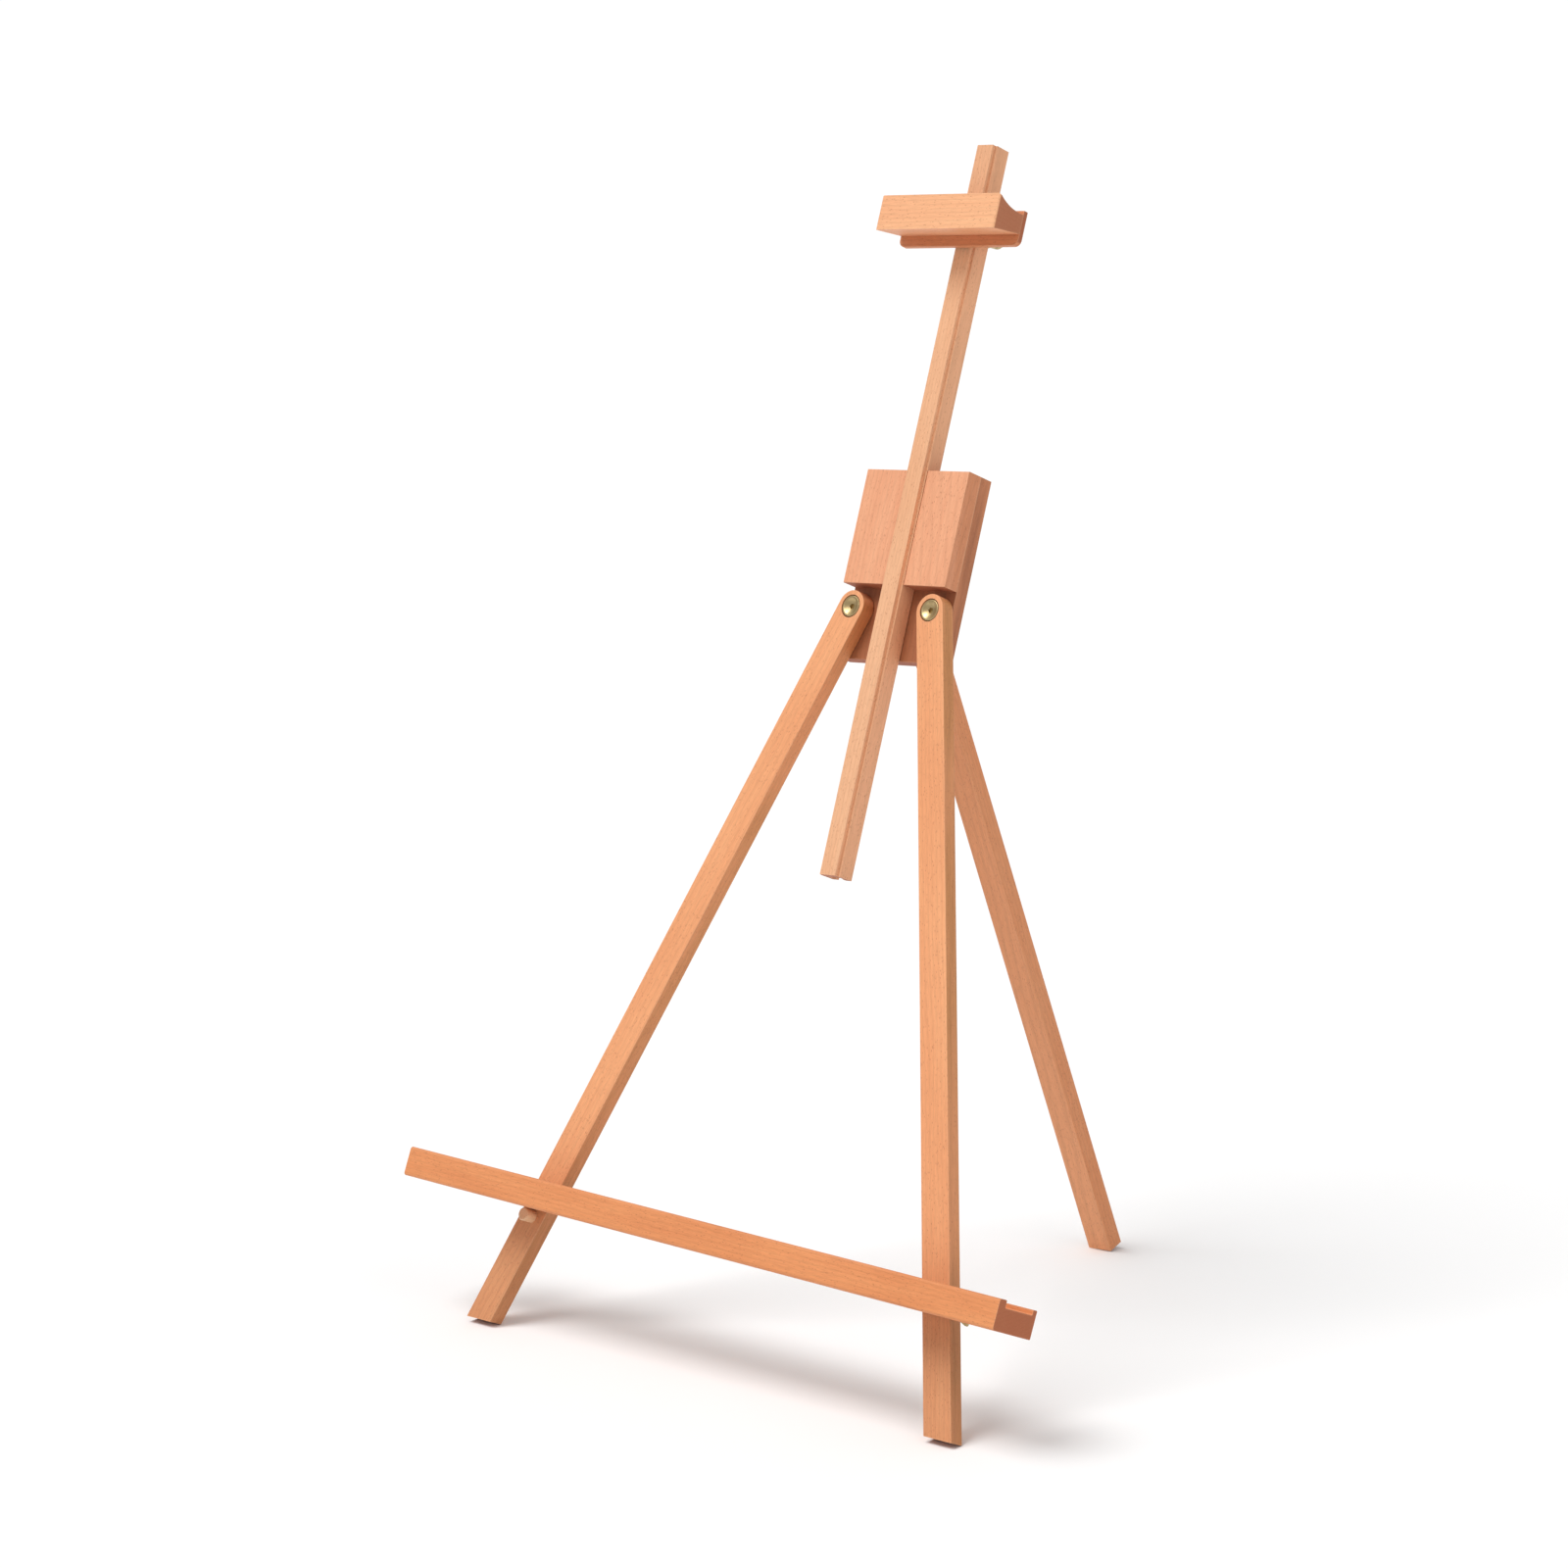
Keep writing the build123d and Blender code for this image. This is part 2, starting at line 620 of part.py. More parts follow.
def ledge():
    """Bar with a front lip, a shallow channel and a low rear rail."""
    lip_back = LEDGE_FRONT - LEDGE_LIP
    rail_front = LEDGE_BACK + LEDGE_REAR_RAIL
    corners = [
        (0, LEDGE_BACK),
        (0, LEDGE_FRONT),
        (LEDGE_HEIGHT, LEDGE_FRONT),
        (LEDGE_HEIGHT, lip_back),
        (LEDGE_CHANNEL_FLOOR, lip_back),
        (LEDGE_CHANNEL_FLOOR, rail_front),
        (LEDGE_REAR_RAIL_TOP, rail_front),
        (LEDGE_REAR_RAIL_TOP, LEDGE_BACK),
    ]
    outline = Polygon(*corners, align=None)
    front = [v for v in outline.vertices() if abs(v.Y - LEDGE_FRONT) < CLEAR]
    outline = fillet(front, LEDGE_EDGE_ROUND)
    rest = [v for v in outline.vertices() if v.Y < lip_back + CLEAR]
    outline = fillet(rest, LEDGE_SMALL_ROUND)
    bar = extrude(Plane.YZ * outline, LEDGE_LENGTH / 2, both=True)
    return bar - rod(LEDGE_BOLT_RADIUS, LEDGE_BACK, LEDGE_BOLT_DEPTH, ledge_bolt_along(), LEDGE_BOLT_UP)


def ledge_bolt():
    """Headless bolt set in the ledge's back, passing through the right leg."""
    low = bolt_end(-LEG_THICK - CLEAR)
    return rod(LEDGE_BOLT_RADIUS, low, LEDGE_BOLT_DEPTH, ledge_bolt_along(), LEDGE_BOLT_UP)


def ledge_washer():
    front = -LEG_THICK - CLEAR
    ring = washer(WASHER_RADIUS, LEDGE_BOLT_RADIUS, front - WASHER_THICK, front)
    return Pos(ledge_bolt_along(), LEDGE_BOLT_UP, 0) * ring


def ledge_wing_nut():
    surface = -LEG_THICK - CLEAR
    return wing_nut_behind(surface, LEDGE_BOLT_RADIUS, ledge_bolt_along(), LEDGE_BOLT_UP, 55)


# ---- Assembly ----


def placed_parts():
    """Every subcomponent in the world, before the origin is moved."""
    head = head_frame()
    hinge = hinge_frame()
    bar = ledge_frame()
    in_head = {
        "back_board": back_board(),
        "left_cheek": cheek(-1),
        "right_cheek": cheek(1),
        "head_screws": head_screws(),
        "pivot_sleeve_left": pivot_sleeve(-1),
        "pivot_sleeve_right": pivot_sleeve(1),
        "pivot_washer_left": pivot_washer(-1),
        "pivot_washer_right": pivot_washer(1),
        "pivot_bolt_left": pivot_bolt(-1),
        "pivot_bolt_right": pivot_bolt(1),
        "mast_lock_bolt": mast_lock_bolt(),
        "mast_lock_washer": mast_lock_washer(),
        "mast_lock_wing_nut": mast_lock_wing_nut(),
        "mast": mast(),
        "clamp_front_block": clamp_front_block(),
        "clamp_back_plate": clamp_back_plate(),
        "clamp_sleeve_left": clamp_sleeve(-1),
        "clamp_sleeve_right": clamp_sleeve(1),
        "clamp_keeper": clamp_keeper(),
        "clamp_screws": clamp_screws(),
        "clamp_lock_bolt": clamp_lock_bolt(),
        "clamp_lock_washer": clamp_lock_washer(),
        "clamp_lock_wing_nut": clamp_lock_wing_nut(),
    }
    about_hinge = {
        "hinge_board_leaf": hinge_board_leaf(),
        "hinge_board_screws": hinge_board_screws(),
        "hinge_pin": hinge_pin(),
        "hinge_leg_leaf": hinge_leg_leaf(),
        "hinge_leg_screws": hinge_leg_screws(),
        "rear_leg": rear_leg(),
    }
    in_ledge = {
        "ledge": ledge(),
        "ledge_bolt": ledge_bolt(),
        "ledge_washer": ledge_washer(),
        "ledge_wing_nut": ledge_wing_nut(),
    }
    parts = {name: place(head, shape) for name, shape in in_head.items()}
    parts.update({name: place(hinge, shape) for name, shape in about_hinge.items()})
    parts.update({name: place(bar, shape) for name, shape in in_ledge.items()})
    parts["left_leg"] = place(leg_frame(-1), left_leg())
    parts["ledge_peg"] = place(leg_frame(-1), ledge_peg())
    parts["right_leg"] = place(leg_frame(1), right_leg())
    return parts


def origin_shift(parts):
    """Move that puts the origin at the middle of the assembly's footprint, on the floor."""
    boxes = [shape.bounding_box() for shape in parts.values()]
    low = [min(getattr(box.min, axis) for box in boxes) for axis in "XYZ"]
    high = [max(getattr(box.max, axis) for box in boxes) for axis in "XYZ"]
    return Vector(-(low[0] + high[0]) / 2, -(low[1] + high[1]) / 2, -low[2])


def main():
    os.makedirs("parts", exist_ok=True)
    parts = placed_parts()
    shift = Location(origin_shift(parts))
    for name, shape in parts.items():
        export_step(shift * shape, f"parts/{name}.step")


if __name__ == "__main__":
    main()
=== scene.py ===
import json
import math
import bpy
from mathutils import Matrix, Vector

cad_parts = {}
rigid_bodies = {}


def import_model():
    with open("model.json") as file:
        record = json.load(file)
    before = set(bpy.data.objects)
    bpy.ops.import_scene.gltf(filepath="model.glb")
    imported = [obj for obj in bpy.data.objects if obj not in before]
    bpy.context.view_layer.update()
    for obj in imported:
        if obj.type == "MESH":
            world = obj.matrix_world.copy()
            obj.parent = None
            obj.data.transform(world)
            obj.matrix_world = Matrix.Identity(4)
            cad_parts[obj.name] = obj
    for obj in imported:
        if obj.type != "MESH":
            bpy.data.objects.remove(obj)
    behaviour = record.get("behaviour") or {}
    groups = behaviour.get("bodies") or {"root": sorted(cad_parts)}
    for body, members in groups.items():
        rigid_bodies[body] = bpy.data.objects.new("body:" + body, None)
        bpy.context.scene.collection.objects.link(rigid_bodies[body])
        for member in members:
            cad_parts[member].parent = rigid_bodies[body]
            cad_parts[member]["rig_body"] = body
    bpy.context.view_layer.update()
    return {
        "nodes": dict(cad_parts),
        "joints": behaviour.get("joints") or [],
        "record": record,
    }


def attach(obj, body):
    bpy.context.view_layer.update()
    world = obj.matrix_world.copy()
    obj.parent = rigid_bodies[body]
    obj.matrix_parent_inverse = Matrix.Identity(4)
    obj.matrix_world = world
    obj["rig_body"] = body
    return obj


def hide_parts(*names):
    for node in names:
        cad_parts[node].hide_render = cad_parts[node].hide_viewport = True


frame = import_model()

# The easel's own directions, read from its joints. OUT points out of the front plane, UP runs up the mast,
# ACROSS runs across the head, and SLOPE runs straight up the front plane.
JOINTS = {joint["name"]: joint for joint in frame["joints"]}
OUT = Vector(JOINTS["left_leg_swing"]["axis"])
UP = Vector(JOINTS["mast_slide"]["axis"])
ACROSS = -Vector(JOINTS["rear_leg_fold"]["axis"])
RIGHT = Vector((1.0, 0.0, 0.0))
SLOPE = OUT.cross(RIGHT)

# Angles that the grain follows: a front leg from the slope, the rear leg from the mast, the ledge from level
LEG_SPLAY = math.radians(18.5)
REAR_OPENING = math.radians(42.1)
LEDGE_TURN = math.radians(-1.0)

# Edges of this angle or sharper are rounded over by these widths, once vertices this close are joined
MM = 0.001
SHARP_EDGE = math.radians(38.0)
JOIN_DISTANCE = 0.002 * MM
WOOD_ARRIS = 0.35 * MM
METAL_ARRIS = 0.15 * MM
NUT_ARRIS = 0.5 * MM


# ---- Node helpers ----


def new_material(name):
    material = bpy.data.materials.new(name)
    material.use_nodes = True
    material.node_tree.nodes.clear()
    return material


class Nodes:
    """Adds nodes to one material's tree."""

    def __init__(self, material):
        self.tree = material.node_tree

    def add(self, kind, **inputs):
        node = self.tree.nodes.new(kind)
        for name, value in inputs.items():
            self.feed(node.inputs[name.replace("_", " ")], value)
        return node

    def feed(self, socket, value):
        if isinstance(value, bpy.types.NodeSocket):
            self.tree.links.new(value, socket)
        else:
            socket.default_value = value

    def math(self, operation, first, second=0.0, clamp=False):
        node = self.tree.nodes.new("ShaderNodeMath")
        node.operation = operation
        node.use_clamp = clamp
        self.feed(node.inputs[0], first)
        self.feed(node.inputs[1], second)
        return node.outputs[0]

    def vector(self, operation, first, second=(0.0, 0.0, 0.0)):
        node = self.tree.nodes.new("ShaderNodeVectorMath")
        node.operation = operation
        self.feed(node.inputs[0], first)
        self.feed(node.inputs[1], second)
        return node.outputs["Value"] if operation in ("DOT_PRODUCT", "LENGTH") else node.outputs[0]

    def ramp(self, value, low, high, to_low=0.0, to_high=1.0):
        """Value taken smoothly from one span to another."""
        node = self.tree.nodes.new("ShaderNodeMapRange")
        node.interpolation_type = "SMOOTHSTEP"
        numbers = (value, low, high, to_low, to_high)
        for name, number in zip(("Value", "From Min", "From Max", "To Min", "To Max"), numbers):
            self.feed(node.inputs[name], number)
        return node.outputs["Result"]

    def mix(self, factor, first, second, blend="MIX"):
        node = self.tree.nodes.new("ShaderNodeMix")
        node.data_type = "RGBA"
        node.blend_type = blend
        self.feed(node.inputs["Factor"], factor)
        self.feed(node.inputs["A"], first)
        self.feed(node.inputs["B"], second)
        return node.outputs["Result"]

    def noise(self, vector, scale, detail=2.0, roughness=0.5, distortion=0.0):
        return self.add(
            "ShaderNodeTexNoise",
            Vector=vector,
            Scale=scale,
            Detail=detail,
            Roughness=roughness,
            Distortion=distortion,
        )


def colour(red, green, blue):
    return (red, green, blue, 1.0)


# ---- Wood ----

# Linear colours of steamed beech: what every board shares, then each board's ground, streak and side tones
FLECK = colour(0.30, 0.090, 0.035)
END = colour(0.35, 0.091, 0.036)
WORN = colour(0.84, 0.52, 0.31)
LEG_TONES = (colour(0.81, 0.37, 0.172), colour(0.75, 0.310, 0.138), colour(0.56, 0.238, 0.084))
HEAD_TONES = (colour(0.79, 0.375, 0.208), colour(0.73, 0.315, 0.168), colour(0.62, 0.232, 0.100))
MAST_TONES = (colour(0.79, 0.435, 0.245), colour(0.74, 0.375, 0.200), colour(0.85, 0.430, 0.235))
LEDGE_TONES = (colour(0.73, 0.285, 0.110), colour(0.66, 0.232, 0.085), colour(0.70, 0.255, 0.094))
CLAMP_TONES = (colour(0.86, 0.45, 0.235), colour(0.80, 0.375, 0.190), colour(0.76, 0.340, 0.170))
REAR_TONES = (colour(0.76, 0.33, 0.155), colour(0.70, 0.295, 0.132), colour(0.68, 0.252, 0.100))
DARK_TONES = (colour(0.64, 0.25, 0.115), colour(0.58, 0.215, 0.095), colour(0.62, 0.235, 0.105))
# Painted shadow: the back board's ground and streak tones are darkened to stand in for the shade under the
# cheeks and the mast, over the whole board, its back too; its side tone is plain beech
SHADOWED_BOARD_TONES = (colour(0.40, 0.143, 0.062), colour(0.36, 0.125, 0.053), colour(0.60, 0.225, 0.098))
PEG_TONES = (colour(0.80, 0.53, 0.320), colour(0.76, 0.460, 0.265), colour(0.78, 0.500, 0.295))

# Heights above the floor, in millimetres, between which the painted shade on the legs' feet fades out
FOOT_SHADE_SPAN = (70.0, 102.0)

# How fast each pattern changes across, along and through a board, per millimetre
WANDER_RATE = (0.030, 0.0065, 0.030)
STREAK_RATE = (0.55, 0.010, 0.55)
FIBRE_RATE = (3.6, 0.13, 3.6)
PATCH_RATE = (0.045, 0.009, 0.045)
FLECK_RATE = (1.25, 0.33, 1.25)

# The grain's wander in millimetres, the rings' stretch along the grain and the wave scale of rings 1 mm apart
WANDER_REACH = (7.0, 0.0, 7.0)
RING_STRETCH = (1.0, 0.02, 1.0)
RING_SCALE = 0.314

# Each board is cut from its own place in the pattern, this far from the last, in millimetres
SEED_STEP = (17.3, 61.7, -23.9)

# How far in from an edge the wear reaches, and the depth of the fine relief on wood and on metal
WORN_RADIUS = 1.1 * MM
WOOD_RELIEF = 0.12 * MM
METAL_RELIEF = 0.04 * MM


def board_axes(along, out):
    """Rotation from the easel's directions to a board's: x across, y along the grain, z out of its face."""
    along = along.normalized()
    across = along.cross(out).normalized()
    return Matrix((across, along, across.cross(along)))


def wood(name, along, out, seed, tones, rings=2.6, pith=(38.0, -25.0), runout=0.02, foot=1.0, end=0.78):
    """Beech with growth rings, streaks, short dark flecks, darker end grain and edges worn pale.

    The rings go round a pith that lies beside the board, tilted from the grain by runout. Painted shade makes
    the wood foot times as light at the feet as above them, and end is how far the end grain is darkened.
    """
    ground, tint, side = tones
    material = new_material(name)
    n = Nodes(material)
    axes = board_axes(along, out)
    coordinates = n.add("ShaderNodeTexCoord")
    board = n.add(
        "ShaderNodeMapping",
        Vector=coordinates.outputs["Object"],
        Location=tuple(step * seed for step in SEED_STEP),
        Rotation=tuple(axes.to_euler("XYZ")),
        Scale=(1 / MM, 1 / MM, 1 / MM),
    ).outputs[0]
    facing = n.vector("DOT_PRODUCT", coordinates.outputs["Normal"], tuple(axes[1]))
    end_on = n.ramp(n.math("ABSOLUTE", facing), 0.75, 0.97)
    sideways = n.vector("DOT_PRODUCT", coordinates.outputs["Normal"], tuple(axes[0]))
    side_on = n.ramp(n.math("ABSOLUTE", sideways), 0.60, 0.95)

    # slow wander of the grain
    slow = n.vector("MULTIPLY", board, WANDER_RATE)
    wander = n.vector("SUBTRACT", n.noise(slow, 1.0, 2.0).outputs["Color"], (0.5, 0.5, 0.5))
    grain = n.vector("ADD", board, n.vector("MULTIPLY", wander, WANDER_REACH))

    # growth rings
    about_pith = n.add(
        "ShaderNodeMapping", Vector=grain, Location=(pith[0], 0.0, pith[1]), Rotation=(runout, 0.0, 0.0)
    ).outputs[0]
    about_pith = n.vector("MULTIPLY", about_pith, RING_STRETCH)
    wave = n.tree.nodes.new("ShaderNodeTexWave")
    wave.wave_type = "RINGS"
    wave.rings_direction = "Y"
    wave.wave_profile = "SAW"
    wave_settings = (about_pith, RING_SCALE / rings, 2.2, 3.0, 0.35)
    for socket, value in zip(("Vector", "Scale", "Distortion", "Detail", "Detail Scale"), wave_settings):
        n.feed(wave.inputs[socket], value)
    ring = n.ramp(wave.outputs["Fac"], 0.45, 1.0)

    # streaks, fibres, pores and flecks, all drawn out along the grain
    streak = n.noise(n.vector("MULTIPLY", grain, STREAK_RATE), 1.0, 4.0, 0.6).outputs["Fac"]
    fibre = n.noise(n.vector("MULTIPLY", grain, FIBRE_RATE), 1.0, 3.0, 0.65).outputs["Fac"]
    patch = n.noise(n.vector("MULTIPLY", grain, PATCH_RATE), 1.0, 2.0).outputs["Fac"]
    cells = n.add("ShaderNodeTexVoronoi", Vector=n.vector("MULTIPLY", grain, FLECK_RATE), Scale=1.0)
    cell_pick = n.vector("DOT_PRODUCT", cells.outputs["Color"], (1.0, 0.0, 0.0))
    near = n.ramp(cells.outputs["Distance"], 0.28, 0.12)
    chosen = n.ramp(cell_pick, 0.35, 0.54)
    fleck = n.math("MULTIPLY", near, chosen)

    # colour
    base = n.mix(side_on, ground, side)
    base = n.mix(n.ramp(patch, 0.35, 0.70, 0.0, 0.75), base, tint)
    base = n.mix(n.ramp(streak, 0.38, 0.68, 0.0, 0.50), base, tint)
    shade = n.ramp(fibre, 0.30, 0.72, 1.07, 0.88)
    shade = n.math("MULTIPLY", shade, n.ramp(ring, 0.0, 1.0, 1.02, 0.95))
    # painted shade: the wood darkens towards the feet, standing in for the ledge's shadow and the dim light
    # near the floor
    height_up = n.vector("DOT_PRODUCT", coordinates.outputs["Object"], (0.0, 0.0, 1 / MM))
    shade = n.math("MULTIPLY", shade, n.ramp(height_up, *FOOT_SHADE_SPAN, foot, 1.0))
    grey = n.add("ShaderNodeCombineColor", Red=shade, Green=shade, Blue=shade).outputs[0]
    base = n.mix(1.0, base, grey, "MULTIPLY")
    base = n.mix(n.math("MULTIPLY", fleck, 0.62), base, FLECK)
    base = n.mix(n.math("MULTIPLY", end_on, end), base, END)

    # worn edges are a little paler and smoother
    bevel = n.tree.nodes.new("ShaderNodeBevel")
    bevel.samples = 4
    bevel.inputs["Radius"].default_value = WORN_RADIUS
    geometry = n.tree.nodes.new("ShaderNodeNewGeometry")
    turn = n.vector("DOT_PRODUCT", bevel.outputs[0], geometry.outputs["Normal"])
    edge = n.math("MULTIPLY", n.ramp(turn, 0.995, 0.93), n.ramp(streak, 0.35, 0.60, 0.4, 1.0))
    base = n.mix(n.math("MULTIPLY", edge, 0.30), base, WORN)

    # relief
    height = n.math("MULTIPLY", fibre, 0.55)
    height = n.math("SUBTRACT", height, n.math("MULTIPLY", fleck, 0.8))
    height = n.math("SUBTRACT", height, n.math("MULTIPLY", ring, 0.25))
    bump = n.add("ShaderNodeBump", Strength=0.35, Distance=WOOD_RELIEF, Height=height)
    rough = n.ramp(fibre, 0.25, 0.75, 0.42, 0.58)
    rough = n.math("ADD", rough, n.math("MULTIPLY", end_on, 0.12))
    rough = n.math("SUBTRACT", rough, n.math("MULTIPLY", edge, 0.08))

    surface = n.add("ShaderNodeBsdfPrincipled", Base_Color=base, Roughness=rough, Normal=bump.outputs[0])
    surface.inputs["Specular IOR Level"].default_value = 0.35
    output = n.tree.nodes.new("ShaderNodeOutputMaterial")
    n.feed(output.inputs["Surface"], surface.outputs[0])
    return material


# ---- Metals ----


def metal(name, ground, dull, roughness, brushed=(1.0, 1.0, 1.0), spot=0.35):
    """Used metal: slight tarnish in patches, fine scratches and a soft sheen.

    The scratches are drawn out by brushed, and spot is how far the tarnish goes.
    """
    material = new_material(name)
    n = Nodes(material)
    coordinates = n.add("ShaderNodeTexCoord").outputs["Object"]
    place = n.vector("MULTIPLY", coordinates, (1 / MM, 1 / MM, 1 / MM))
    cloud = n.noise(place, 0.22, 4.0, 0.6).outputs["Fac"]
    grain = n.noise(n.vector("MULTIPLY", place, brushed), 5.0, 3.0, 0.7).outputs["Fac"]
    tarnish = n.ramp(cloud, 0.45, 0.75, 0.0, spot)
    base = n.mix(tarnish, ground, dull)
    base = n.mix(n.ramp(grain, 0.5, 0.8, 0.0, 0.25), base, dull)
    rough = n.ramp(grain, 0.3, 0.7, roughness - 0.06, roughness + 0.10)
    rough = n.math("ADD", rough, n.math("MULTIPLY", tarnish, 0.3))
    bump = n.add("ShaderNodeBump", Strength=0.25, Distance=METAL_RELIEF, Height=grain)
    surface = n.add("ShaderNodeBsdfPrincipled", Base_Color=base, Roughness=rough, Normal=bump.outputs[0])
    surface.inputs["Metallic"].default_value = 1.0
    output = n.tree.nodes.new("ShaderNodeOutputMaterial")
    n.feed(output.inputs["Surface"], surface.outputs[0])
    return material


def leg_direction(side):
    """Up one of the front legs."""
    return SLOPE * math.cos(LEG_SPLAY) - RIGHT * side * math.sin(LEG_SPLAY)


LEFT_ALONG = leg_direction(-1)
RIGHT_ALONG = leg_direction(1)
REAR_ALONG = UP * math.cos(REAR_OPENING) + OUT * math.sin(REAR_OPENING)
REAR_OUT = OUT * math.cos(REAR_OPENING) - UP * math.sin(REAR_OPENING)
LEDGE_ALONG = RIGHT * math.cos(LEDGE_TURN) + SLOPE * math.sin(LEDGE_TURN)

WOODS = {
    # foot paints shade on the front legs' lower ends, standing in for the ledge's shadow
    "left_leg": wood("beech_left_leg", LEFT_ALONG, OUT, 1, LEG_TONES, foot=0.78),
    "right_leg": wood("beech_right_leg", RIGHT_ALONG, OUT, 2, LEG_TONES, pith=(-30.0, -42.0), foot=0.80),
    "rear_leg": wood("beech_rear_leg", REAR_ALONG, REAR_OUT, 3, REAR_TONES),
    "mast": wood("beech_mast", UP, OUT, 4, MAST_TONES, pith=(20.0, -60.0)),
    "left_cheek": wood("beech_left_cheek", UP, OUT, 5, HEAD_TONES, rings=3.4, pith=(70.0, -14.0)),
    "right_cheek": wood(
        "beech_right_cheek", UP, OUT, 6, HEAD_TONES, rings=3.6, pith=(-22.0, 16.0), runout=0.16
    ),
    # the back board's darker tones are a painted shadow, not its own colour
    "back_board": wood(
        "beech_back_board", UP, OUT, 7, SHADOWED_BOARD_TONES, rings=3.2, pith=(4.0, 34.0), runout=0.10
    ),
    "clamp_front_block": wood("beech_clamp_block", ACROSS, OUT, 8, CLAMP_TONES, pith=(30.0, -34.0)),
    "clamp_back_plate": wood("beech_clamp_plate", ACROSS, OUT, 9, DARK_TONES),
    "clamp_keeper": wood("beech_clamp_keeper", ACROSS, OUT, 10, DARK_TONES),
    "clamp_sleeve_left": wood("beech_clamp_cheek_left", UP, RIGHT, 11, HEAD_TONES),
    "clamp_sleeve_right": wood("beech_clamp_cheek_right", UP, RIGHT, 12, HEAD_TONES),
    "ledge": wood("beech_ledge", LEDGE_ALONG, OUT, 13, LEDGE_TONES, pith=(50.0, -30.0)),
    "ledge_peg": wood("beech_peg", OUT, RIGHT, 14, PEG_TONES, end=0.20),
}
BRASS = metal("brass", colour(0.53, 0.395, 0.20), colour(0.21, 0.145, 0.065), 0.34, spot=0.50)
STEEL = metal("zinc_steel", colour(0.55, 0.55, 0.53), colour(0.34, 0.33, 0.31), 0.32, brushed=(1.0, 1.0, 0.1))
METALS = {"brass": BRASS, "zinc_steel": STEEL}


def soften(piece, width):
    """Takes the sharpness off a piece's edges and shades its flat faces flat."""
    join = piece.modifiers.new("join", "WELD")
    join.merge_threshold = JOIN_DISTANCE
    round_over = piece.modifiers.new("round_over", "BEVEL")
    round_over.limit_method = "ANGLE"
    round_over.angle_limit = SHARP_EDGE
    round_over.width = width
    round_over.segments = 2
    piece.modifiers.new("shading", "WEIGHTED_NORMAL")


SLOTS = {part["node"]: part["material_slot"] for part in frame["record"]["subparts"]}
for node, slot in SLOTS.items():
    piece = frame["nodes"][node]
    piece.data.materials.clear()
    piece.data.materials.append(WOODS.get(node) or METALS[slot])
    if node in WOODS:
        soften(piece, WOOD_ARRIS)
    else:
        soften(piece, NUT_ARRIS if "wing_nut" in node else METAL_ARRIS)


# ---- Threaded bolts and cast wing nuts, in place of the plain ones ----

TURN = 2.0 * math.pi
RING_STEPS = 32

# Bolts: the thread starts at the rear end, below its own root so that the tip is tapered
M5_RADIUS = 2.5 * MM
M6_RADIUS = 3.0 * MM
THREAD_PITCH = 0.8 * MM
THREAD_DEPTH = 0.42 * MM
THREAD_LENGTH = 14.0 * MM
THREAD_STEPS = 8
LEAD_IN_DEPTH = 1.6 * THREAD_DEPTH
LEAD_IN_TURN = 0.4
BOLT_HEAD_HALF = 4.2 * MM
BOLT_HEAD_THICK = 3.4 * MM

# Wing nuts: the gap round the bolt, and the cell size and smoothing passes that run hub and wings together
NUT_HEIGHT = 9.0 * MM
NUT_BORE_GAP = 0.25 * MM
NUT_VOXEL = 0.32 * MM
NUT_SMOOTHING = 5

# Wing nut in millimetres: the hub's radius at each height, then each wing section's distance from the middle,
# height, half height and half thickness
NUT_HUB = ((5.3, 0.0), (5.5, 0.3), (5.5, 1.2), (4.4, 8.3), (3.9, 9.0))
WING_SECTIONS = (
    (2.9, 4.6, 3.6, 1.3),
    (6.2, 5.2, 3.5, 1.3),
    (9.4, 7.6, 3.1, 1.2),
    (11.9, 10.3, 2.2, 1.2),
    (13.0, 11.5, 1.0, 0.8),
)


def middle_line(node, along, across):
    """Low end, length and widest reach, as a vector, of a CAD node that is even about a line."""
    up = along.cross(across).normalized()
    across = up.cross(along).normalized()
    points = [vertex.co for vertex in frame["nodes"][node].data.vertices]
    spans = [(min(p.dot(d) for p in points), max(p.dot(d) for p in points)) for d in (along, across, up)]
    foot = along * spans[0][0] + across * sum(spans[1]) / 2 + up * sum(spans[2]) / 2
    flat = [p - foot - along * (p - foot).dot(along) for p in points]
    reach = max(flat, key=lambda offset: offset.length)
    return foot, spans[0][1] - spans[0][0], reach


def add_piece(name, vertices, faces, node, slot):
    """New piece that stands for a CAD node, on the same body and with the same finish."""
    mesh = bpy.data.meshes.new(name)
    mesh.from_pydata(vertices, [], faces)
    mesh.materials.append(METALS[slot])
    mesh.shade_smooth()
    piece = bpy.data.objects.new(name, mesh)
    bpy.context.scene.collection.objects.link(piece)
    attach(piece, frame["nodes"][node]["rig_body"])
    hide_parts(node)
    return piece


def skin(rings, closed=False):
    """Faces between rings of vertices in a row, with both ends filled unless the row closes on itself."""
    count = len(rings)
    faces = []
    for row in range(count if closed else count - 1):
        here, there = row * RING_STEPS, (row + 1) % count * RING_STEPS
        for step in range(RING_STEPS):
            after = (step + 1) % RING_STEPS
            faces.append((here + step, here + after, there + after, there + step))
    if not closed:
        faces.append(tuple(reversed(range(RING_STEPS))))
        faces.append(tuple(range((count - 1) * RING_STEPS, count * RING_STEPS)))
    return faces


def ring(centre, across, up, radius):
    """Ring of vertices; radius is a number or a function of the angle."""
    points = []
    for step in range(RING_STEPS):
        angle = TURN * step / RING_STEPS
        size = radius(angle) if callable(radius) else radius
        points.append(centre + (across * math.cos(angle) + up * math.sin(angle)) * size)
    return points


def square(half):
    """Radius of a square at an angle."""
    return lambda angle: half / max(abs(math.cos(angle)), abs(math.sin(angle)))


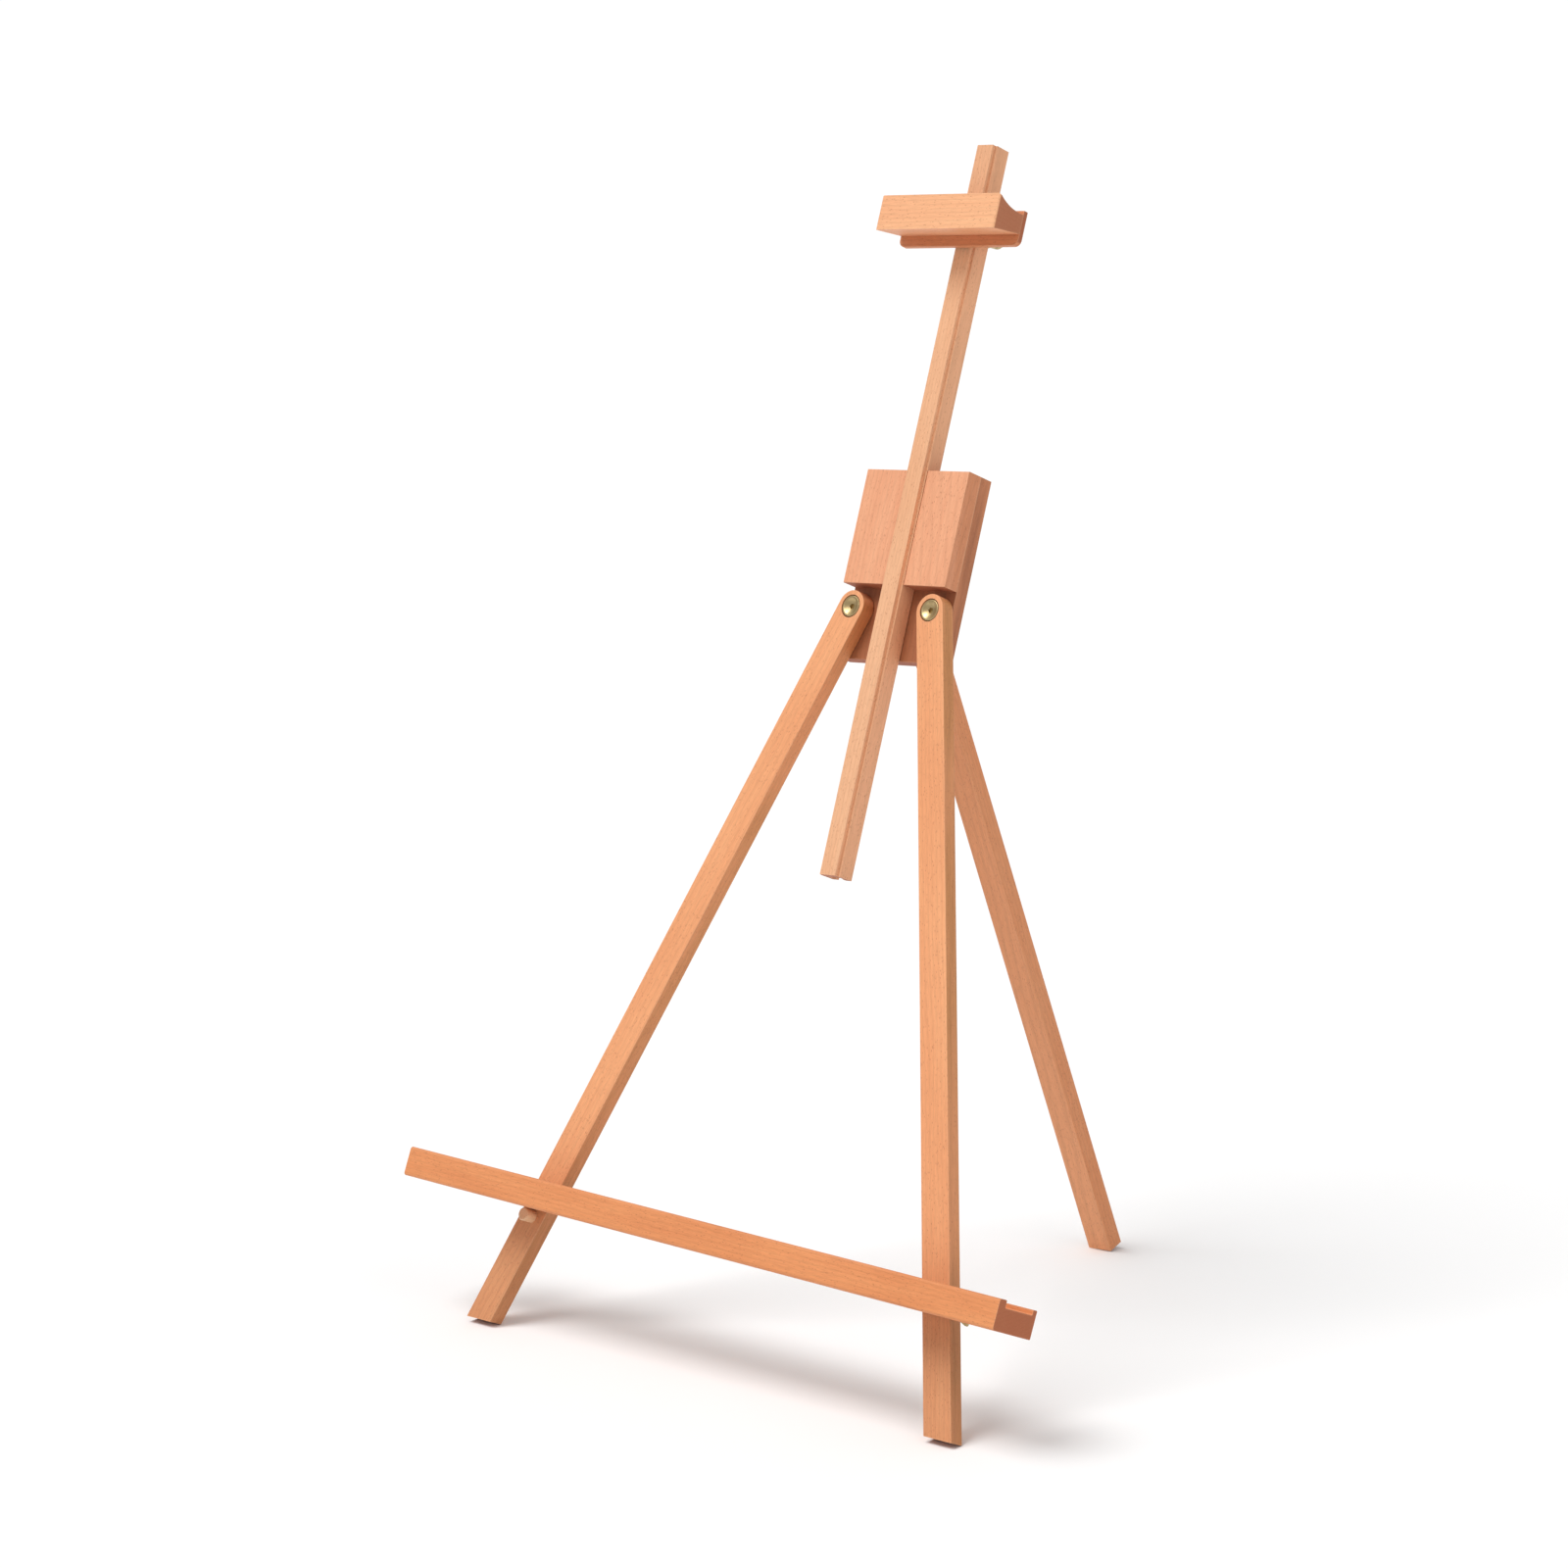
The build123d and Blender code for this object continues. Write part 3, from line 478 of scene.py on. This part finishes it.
def bolt(node, radius, across, headed):
    """Bolt with a helical thread from its rear end, and a square head at its front end if it has one."""
    foot, length, _ = middle_line(node, OUT, across)
    up = OUT.cross(across).normalized()

    def thread(height):
        def size(angle):
            turn = (height / THREAD_PITCH - angle / TURN) % 1.0
            return radius - THREAD_DEPTH * abs(2.0 * turn - 1.0)

        return size

    sections = [(0.0, radius - LEAD_IN_DEPTH)]
    steps = round(THREAD_LENGTH / THREAD_PITCH * THREAD_STEPS)
    for step in range(1, steps):
        height = THREAD_PITCH * (step / THREAD_STEPS + LEAD_IN_TURN)
        sections.append((height, thread(height)))
    sections.append((THREAD_LENGTH + THREAD_PITCH, radius))
    if headed:
        neck = length - BOLT_HEAD_THICK
        wide = square(BOLT_HEAD_HALF)
        eased = square(BOLT_HEAD_HALF - METAL_ARRIS)
        sections += [(neck, radius), (neck, eased), (neck + METAL_ARRIS, wide)]
        sections += [(length - METAL_ARRIS, wide), (length, eased)]
    else:
        sections += [(length - METAL_ARRIS, radius), (length, radius - METAL_ARRIS)]
    rings = [ring(foot + OUT * height, across, up, size) for height, size in sections]
    vertices = [point for points in rings for point in points]
    add_piece("threaded_" + node, vertices, skin(rings), node, "zinc_steel")


def wing_nut(node, bolt_radius):
    """Cast wing nut: hub and wings run together by a remesh, then smoothed."""
    foot, length, reach = middle_line(node, OUT, RIGHT)
    seat = foot + OUT * length
    wing_way = reach.normalized()
    side_way = OUT.cross(wing_way).normalized()
    bore = bolt_radius + NUT_BORE_GAP
    profile = [(bore, 0.0)] + [(r * MM, z * MM) for r, z in NUT_HUB] + [(bore, NUT_HEIGHT)]
    rings = [ring(seat - OUT * z, wing_way, side_way, r) for r, z in profile]
    vertices = [point for points in rings for point in points]
    faces = skin(rings, closed=True)
    for side in (-1.0, 1.0):
        sections = []
        for index, (x, z, tall, thick) in enumerate(WING_SECTIONS):
            last = WING_SECTIONS[max(index - 1, 0)]
            after = WING_SECTIONS[min(index + 1, len(WING_SECTIONS) - 1)]
            run = wing_way * side * (after[0] - last[0]) - OUT * (after[1] - last[1])
            rise = run.normalized().cross(side_way)
            centre = seat + wing_way * side * x * MM - OUT * z * MM
            sections.append(ring(centre, rise * tall * MM, side_way * thick * MM, 1.0))
        first = len(vertices)
        vertices += [point for points in sections for point in points]
        faces += [tuple(first + corner for corner in face) for face in skin(sections)]
    piece = add_piece("cast_" + node, vertices, faces, node, "brass")
    merge = piece.modifiers.new("merge", "REMESH")
    merge.mode = "VOXEL"
    merge.voxel_size = NUT_VOXEL
    merge.use_smooth_shade = True
    relax = piece.modifiers.new("relax", "SMOOTH")
    relax.iterations = NUT_SMOOTHING


bolt("mast_lock_bolt", M5_RADIUS, ACROSS, True)
bolt("clamp_lock_bolt", M5_RADIUS, ACROSS, True)
bolt("ledge_bolt", M6_RADIUS, LEDGE_ALONG, False)
wing_nut("mast_lock_wing_nut", M5_RADIUS)
wing_nut("clamp_lock_wing_nut", M5_RADIUS)
wing_nut("ledge_wing_nut", M6_RADIUS)


# ---- Floor, light and camera ----

FLOOR_HALF = 60.0
FLOOR_ROUGHNESS = 0.9
SENSOR_WIDTH = 36.0
VIEW_END = 200.0


def floor():
    """Plain pale floor that runs to the horizon."""
    low, high = -FLOOR_HALF, FLOOR_HALF
    mesh = bpy.data.meshes.new("floor")
    mesh.from_pydata([(low, low, 0), (high, low, 0), (high, high, 0), (low, high, 0)], [], [(0, 1, 2, 3)])
    sheet = bpy.data.objects.new("floor", mesh)
    bpy.context.scene.collection.objects.link(sheet)
    material = new_material("floor")
    n = Nodes(material)
    cloud = n.noise(n.add("ShaderNodeTexCoord").outputs["Object"], 3.0, 3.0).outputs["Fac"]
    base = n.mix(cloud, colour(0.90, 0.90, 0.90), colour(0.93, 0.93, 0.93))
    surface = n.add("ShaderNodeBsdfPrincipled", Base_Color=base)
    surface.inputs["Roughness"].default_value = FLOOR_ROUGHNESS
    output = n.tree.nodes.new("ShaderNodeOutputMaterial")
    n.feed(output.inputs["Surface"], surface.outputs[0])
    mesh.materials.append(material)


def away_from(azimuth, elevation):
    """Direction from the easel, in degrees. Azimuth 0 is straight in front."""
    turn = math.radians(azimuth)
    rise = math.radians(elevation)
    return Vector((math.sin(turn) * math.cos(rise), -math.cos(turn) * math.cos(rise), math.sin(rise)))


def sun(name, azimuth, elevation, spread, strength):
    """Wide soft light from far away."""
    away = away_from(azimuth, elevation)
    data = bpy.data.lights.new(name, "SUN")
    data.angle = math.radians(spread)
    data.energy = strength
    lamp = bpy.data.objects.new(name, data)
    lamp.rotation_euler = (-away).to_track_quat("-Z", "Y").to_euler()
    bpy.context.scene.collection.objects.link(lamp)


def surroundings(strength):
    """Even white light from all round."""
    world = bpy.data.worlds.new("studio")
    world.use_nodes = True
    background = world.node_tree.nodes["Background"]
    background.inputs["Color"].default_value = colour(1.0, 1.0, 1.0)
    background.inputs["Strength"].default_value = strength
    bpy.context.scene.world = world


def camera(azimuth, elevation, roll, distance, lens, target):
    """Camera that looks at the target, turned about its own line of sight by roll."""
    turn = math.radians(azimuth)
    tip = math.radians(roll)
    away = away_from(azimuth, elevation)
    level = Vector((math.cos(turn), math.sin(turn), 0.0))
    upright = away.cross(level)
    right = level * math.cos(tip) + upright * math.sin(tip)
    top = upright * math.cos(tip) - level * math.sin(tip)
    data = bpy.data.cameras.new("camera")
    data.lens = lens
    data.sensor_width = SENSOR_WIDTH
    data.clip_end = VIEW_END
    eye = bpy.data.objects.new("camera", data)
    axes = Matrix((right, top, away)).transposed()
    eye.matrix_world = Matrix.Translation(target + away * distance) @ axes.to_4x4()
    bpy.context.scene.collection.objects.link(eye)
    bpy.context.scene.camera = eye


floor()
surroundings(0.50)
sun("key", azimuth=-30.0, elevation=63.0, spread=35.0, strength=2.05)
sun("rim", azimuth=75.0, elevation=35.0, spread=35.0, strength=0.35)
camera(
    azimuth=43.95,
    elevation=10.99,
    roll=-2.135,
    distance=2.8566,
    lens=112.5,
    target=Vector((-0.0040, -0.0756, 0.3365)),
)
bpy.context.scene.view_settings.view_transform = "Standard"
